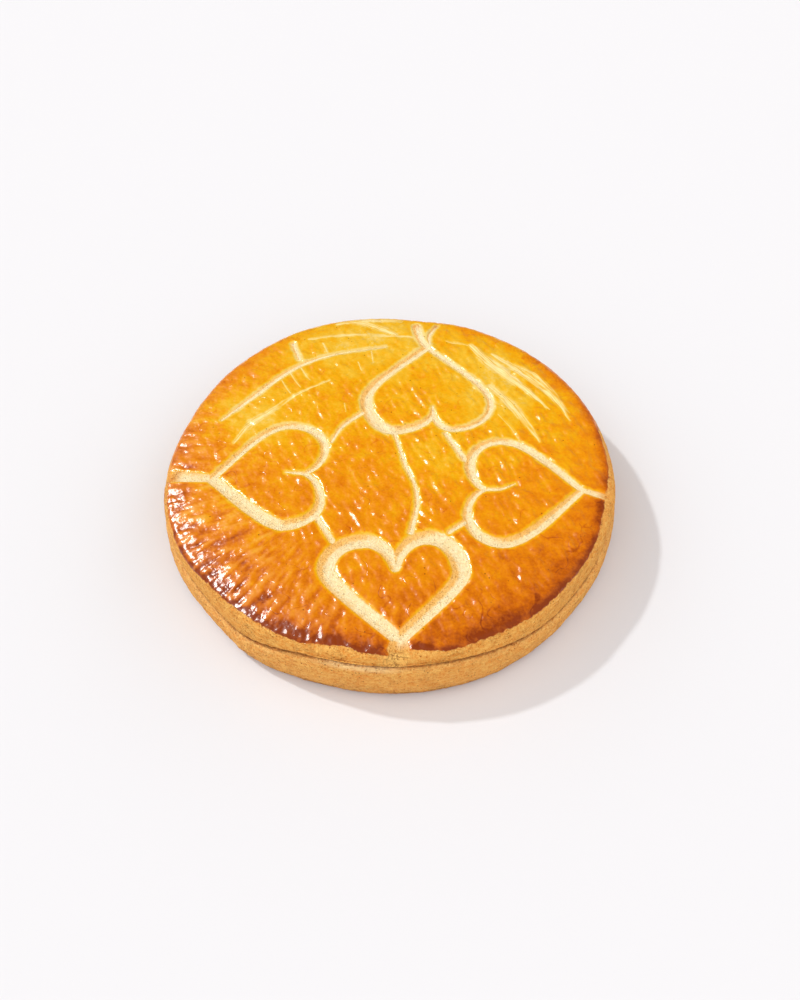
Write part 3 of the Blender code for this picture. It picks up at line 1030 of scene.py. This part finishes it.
def glaze_colour(nodes, ragged, creased, rays):
    """The bake, mottled and darker in the creases and troughs, paler at gouges and brush marks, with
    painted glints at the touches and a painted sheen on the wrinkles' crests.
    """
    # Thin egg wash along the brush marks, and painted glints at the touches.
    thin = brush_strands_and_glints(nodes)
    ridge = nodes.attribute("ridges")
    burnt = nodes.between(nodes.noise(6.0, detail=3.0), 0.28, 0.66, 0.65, 1.0)
    tone = nodes.total(
        nodes.attribute("bake"),
        nodes.times(nodes.centred(8.0), 0.50),
        nodes.times(nodes.centred(1.3, detail=2.0), 0.28),
        nodes.times(creased, 0.14),
        nodes.times(nodes.total(nodes.times(rays, -1.0), 0.5), nodes.attribute("wrinkled"), 0.18),
        nodes.times(ridge, -0.30),
        nodes.times(nodes.attribute("brown"), burnt),
        nodes.between(nodes.total(nodes.attribute("outside"), ragged), 1.7, -0.2, 0.0, -0.30),
        nodes.times(thin, -0.40),
    )
    # Painted sheen: the wrinkles' crests are paler, toward peach.
    painted_sheen = nodes.between(ridge, 0.08, 0.50, 0.0, 0.28)
    colour = nodes.mixed(painted_sheen, nodes.ramp(tone, GLAZE_TONES), PAINTED_SHEEN)
    return nodes.mixed(nodes.between(thin, 0.22, 0.95, 0.0, 0.74), colour, THIN_WASH_AND_GLINT)


def gouge_cream(nodes, grain, ragged):
    """The gouges' cream dough, with painted shade, a tan, on the walls that face the front right, away
    from the sun.
    """
    turned_away = nodes.total(nodes.attribute("facing"), nodes.times(ragged, 0.5))
    # Painted shade: the walls that face the front right, away from the sun at the back left, turn tan.
    painted_shade = nodes.between(turned_away, 0.0, -0.42)
    cream = nodes.mixed(grain, CREAM_SHADE, CREAM)
    return nodes.mixed(nodes.times(painted_shade, 0.92), cream, nodes.mixed(grain, PAINTED_SHADE_TAN_DARK, PAINTED_SHADE_TAN))


def notch_splits(nodes):
    """Upright splits in the notch."""
    split = nodes.off_middle(nodes.noise(1.9, detail=3.0, place=nodes.upright(0.22)))
    return nodes.times(nodes.between(split, 0.13, 0.02), nodes.attribute("notch"))


def lid_material():
    """Egg-washed glaze over the lid's top, and bare dough in its gouges and below the glaze."""
    nodes = MaterialNodes("egg_washed_lid")
    ragged = nodes.centred(1.6)
    glazed = glaze_cover(nodes, ragged)
    glaze_height, creased, rays = glaze_skin(nodes)
    dough_height, grain, specks = crumb(nodes)

    # Bare dough is cream in the gouges, and sandy and browner down the side.
    side = nodes.attribute("side")
    cracks = side_cracks(nodes, nodes.times(side, 0.45))
    dough = nodes.mixed(side, gouge_cream(nodes, grain, ragged), nodes.mixed(grain, SANDY_DARK, SANDY))
    dough = nodes.mixed(nodes.times(nodes.attribute("notch"), 0.6), dough, NOTCH_DOUGH)
    dough = nodes.mixed(nodes.times(specks, nodes.total(nodes.times(side, 0.4), 0.4)), dough, SIDE_SPECK)

    # The glaze lies over it, with crevices through both that are painted dark brown as their shade, and a
    # few dark flecks on the glaze.
    open_cracks = nodes.total(cracks, notch_splits(nodes))
    crevice_painted_shade = nodes.number("MAXIMUM", nodes.times(seam_painted_shade(nodes), 1.5), open_cracks)
    flecks = nodes.times(glazed, nodes.spots(1.7, 0.30, 0.03))
    colour = nodes.mixed(glazed, dough, glaze_colour(nodes, ragged, creased, rays))
    colour = nodes.mixed(nodes.times(crevice_painted_shade, 0.6), colour, PAINTED_CREVICE_SHADE)
    colour = nodes.mixed(nodes.times(flecks, 0.85), colour, SPECK)

    # The gouges' floor is torn along its middle.
    torn = nodes.between(nodes.total(nodes.attribute("middle"), ragged), 0.5, 0.1)
    dough_height = nodes.total(
        dough_height, nodes.times(torn, -TEAR_DEPTH), nodes.times(cracks, -LID_CRACK_DEPTH)
    )
    height = nodes.mixed_number(glazed, dough_height, glaze_height)
    height = nodes.total(height, nodes.times(glazed, GLAZE_THICKNESS))

    shader = nodes.shader
    nodes.feed(shader["Base Color"], colour)
    nodes.feed(shader["Roughness"], nodes.mixed_number(glazed, DOUGH_ROUGHNESS, GLAZE_ROUGHNESS))
    nodes.feed(shader["Coat Weight"], nodes.times(glazed, 0.9))
    nodes.feed(shader["Normal"], nodes.bump(height))
    nodes.feed(shader["Coat Normal"], nodes.bump(height))
    shader["Specular IOR Level"].default_value = 0.10
    shader["Coat Roughness"].default_value = 0.15
    shader["Coat IOR"].default_value = 1.36
    return nodes.material


def crust_material():
    """The lower crust's sandy dough, with painted light that makes its lip paler, most on a ledge at the
    front, and darker and cracked near its foot.
    """
    nodes = MaterialNodes("sandy_crust")
    height, grain, specks = crumb(nodes)
    level = nodes.attribute("level")
    # Painted light: the lip under the seam is paler, most on the ledge at the front.
    lip = nodes.between(nodes.attribute("seam"), 3.6, 0.8)
    pale = nodes.times(lip, nodes.between(nodes.attribute("painted_light_ledge"), 0.0, 0.8, 0.10, 0.9))
    cracks = side_cracks(nodes, nodes.between(level, 11.0, 3.0, 0.25, 1.0))
    sandy = nodes.mixed(grain, SANDY_DARK, SANDY)
    sandy = nodes.mixed(nodes.times(pale, nodes.between(grain, -0.2, 0.4)), sandy, LIP_PAINTED_LIGHT)
    sandy = nodes.mixed(nodes.times(nodes.between(level, 7.0, 1.0), 0.75), sandy, SANDY_FOOT)
    # Painted shade in the seam and the cracks.
    crevice_painted_shade = nodes.number("MAXIMUM", nodes.times(seam_painted_shade(nodes), 0.6), nodes.times(cracks, 0.8))
    colour = nodes.mixed(nodes.times(specks, 0.8), nodes.mixed(crevice_painted_shade, sandy, PAINTED_CREVICE_SHADE), SIDE_SPECK)
    height = nodes.total(height, nodes.times(cracks, -CRUST_CRACK_DEPTH))
    nodes.feed(nodes.shader["Base Color"], colour)
    nodes.feed(nodes.shader["Normal"], nodes.bump(height))
    nodes.shader["Roughness"].default_value = DOUGH_ROUGHNESS
    nodes.shader["Specular IOR Level"].default_value = 0.25
    return nodes.material


def floor_material():
    material = bpy.data.materials.new("pale_floor")
    material.use_nodes = True
    shader = material.node_tree.nodes["Principled BSDF"].inputs
    shader["Base Color"].default_value = paint(249, 248, 249)
    shader["Roughness"].default_value = 1.0
    shader["Specular IOR Level"].default_value = 0.0
    return material


# ---- Pieces ----


def placed(name, data):
    """A new object of this mesh, camera or light, in the scene."""
    thing = bpy.data.objects.new(name, data)
    bpy.context.scene.collection.objects.link(thing)
    return thing


def make_piece(name, points, faces, values, material):
    """A smooth mesh of these points, with a value or a vector at each under each name."""
    mesh = bpy.data.meshes.new(name)
    mesh.from_pydata(points * MM, [], faces)
    for label, numbers in values.items():
        kind, field = ("FLOAT", "value") if numbers.ndim == 1 else ("FLOAT_VECTOR", "vector")
        layer = mesh.attributes.new(label, kind, "POINT")
        layer.data.foreach_set(field, np.ascontiguousarray(numbers, np.float32).ravel())
    mesh.shade_smooth()
    mesh.materials.append(material)
    return placed(name, mesh)


def make_lid():
    strokes = scored_strokes(STROKE_STEP)
    skin = lid_skin(strokes)
    cuts = scored(skin.points[:, :2], strokes)
    over_edge = np.maximum(skin.travel - SHOULDER_RADIUS, 0.0)
    outside = np.minimum(cuts.outside + 0.5 * over_edge, FAR)
    inside = glaze_inside(skin)
    bare = 1.0 - smooth_step(outside, -0.3, 0.2) * smooth_step(inside, -0.8, 0.8)
    above_seam = skin.points[:, 2] - seam_height(skin.angles)
    wrinkles = ridges(skin)
    relief = lid_relief(skin, wrinkles, outside, bare, above_seam)
    points = skin.points + skin.normals * relief[:, None]
    values = {
        "outside": outside,
        "middle": cuts.middle,
        "facing": cuts.facing,
        "inside": inside,
        "side": smooth_step(skin.travel, *SIDE_SETS_IN),
        "notch": beside(skin.angles, *NOTCH) * smooth_step(skin.travel, *NOTCH_SETS_IN),
        "bake": bake(skin),
        "brown": browned(skin, inside),
        "wrinkled": wrinkled(skin),
        "ridges": wrinkles,
        "spokes": spokes(skin, across=3.0, along=9.0),
        # The brush marks, and the touches, which are painted glints.
        "brushed": brush_marks_and_glints(skin.points[:, :2]),
        "seam": above_seam,
    }
    lid = make_piece("glazed_lid", points, skin.faces, values, lid_material())
    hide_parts("top_crust")
    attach(lid, "root")


def make_crust():
    skin = crust_skin()
    points = skin.points + skin.normals * crust_relief(skin)[:, None]
    points[:, 2] = np.maximum(points[:, 2], 0.0)
    values = {
        "seam": skin.travel,
        "level": skin.points[:, 2],
        "painted_light_ledge": beside(skin.angles, *PAINTED_LIGHT_LEDGE),
    }
    crust = make_piece("sandy_base", points, skin.faces, values, crust_material())
    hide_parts("base_crust")
    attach(crust, "root")


# ---- Studio ----

# The camera stands in front of the cake and looks down on this point, a little rolled.
CAMERA_TARGET = (5, -11, 20)
CAMERA_DISTANCE = 554.0
CAMERA_AZIMUTH = -90.0
CAMERA_ELEVATION = 51.0
CAMERA_ROLL = -1.5
FOCAL_LENGTH = 40.5
SENSOR_HEIGHT = 36.0
CLIP_START = 10.0

SUN_AZIMUTH = 149.5
SUN_ELEVATION = 46.0
SUN_STRENGTH = 1.26
SUN_COLOUR = (0.94, 1.0, 1.03)
SUN_ANGLE = 3.0

# A wider lamp in the sun's direction, which only makes the highlights.
LAMP_STRENGTH = 5.2
LAMP_ANGLE = 26.0

SKY_STRENGTH = 1.33
SKY_GLOSS = 0.06
SKY_COLOUR = (1.03, 1.0, 1.0)

# The dark part of the sky, and how squarely a direction faces it where the dark sets in and is full.
DARK_AZIMUTH = 90.0
DARK_ELEVATION = 51.0
DARK_SETS_IN = (0.75, 0.93)

FLOOR_SIZE = 3000.0


def skyward(azimuth, elevation):
    """The unit vector that points this way, in degrees."""
    level = math.cos(math.radians(elevation)) * level_direction(azimuth)
    return Vector((*level, math.sin(math.radians(elevation))))


def make_camera():
    camera = placed("camera", bpy.data.cameras.new("camera"))
    backward = skyward(CAMERA_AZIMUTH, CAMERA_ELEVATION)
    place = MM * (Vector(CAMERA_TARGET) + CAMERA_DISTANCE * backward)
    aim = backward.to_track_quat("Z", "Y").to_matrix().to_4x4()
    roll = Matrix.Rotation(math.radians(CAMERA_ROLL), 4, "Z")
    camera.matrix_world = Matrix.Translation(place) @ aim @ roll
    camera.data.sensor_fit = "VERTICAL"
    camera.data.sensor_height = SENSOR_HEIGHT
    camera.data.lens = FOCAL_LENGTH
    camera.data.clip_start = MM * CLIP_START
    bpy.context.scene.camera = camera


def make_sun(name, strength, angle, colour=(1.0, 1.0, 1.0)):
    light = bpy.data.lights.new(name, "SUN")
    light.energy = strength
    light.color = colour
    light.angle = math.radians(angle)
    sun = placed(name, light)
    sun.rotation_euler = skyward(SUN_AZIMUTH, SUN_ELEVATION).to_track_quat("Z", "Y").to_euler()
    return sun


def make_lights():
    make_sun("sun", SUN_STRENGTH, SUN_ANGLE, SUN_COLOUR)
    lamp = make_sun("lamp", LAMP_STRENGTH, LAMP_ANGLE)
    lamp.visible_diffuse = False


def make_sky():
    """An even pale studio, dimmer in gloss, and dark where the lid would mirror it to the front."""
    world = bpy.data.worlds.new("studio")
    world.use_nodes = True
    nodes = Nodes(world.node_tree)
    way = nodes.make("ShaderNodeTexCoord", output="Generated")
    dark = {0: way, 1: skyward(DARK_AZIMUTH, DARK_ELEVATION)}
    toward = nodes.make("ShaderNodeVectorMath", dark, "Value", operation="DOT_PRODUCT")
    shade = nodes.between(toward, *DARK_SETS_IN, bottom=SKY_STRENGTH, top=0.0)
    glossy = nodes.make("ShaderNodeLightPath", output="Is Glossy Ray")
    dimmed = nodes.between(glossy, 0.0, 1.0, bottom=1.0, top=SKY_GLOSS)
    background = nodes.tree.nodes["Background"].inputs
    background["Color"].default_value = (*SKY_COLOUR, 1.0)
    nodes.feed(background["Strength"], nodes.times(shade, dimmed))
    bpy.context.scene.world = world


def make_floor():
    half = MM * FLOOR_SIZE / 2
    corners = [(-half, -half, 0.0), (half, -half, 0.0), (half, half, 0.0), (-half, half, 0.0)]
    mesh = bpy.data.meshes.new("floor")
    mesh.from_pydata(corners, [], [(0, 1, 2, 3)])
    mesh.materials.append(floor_material())
    placed("floor", mesh)


make_camera()
make_lights()
make_sky()
make_floor()
make_lid()
make_crust()
bpy.context.scene.view_settings.view_transform = "Standard"
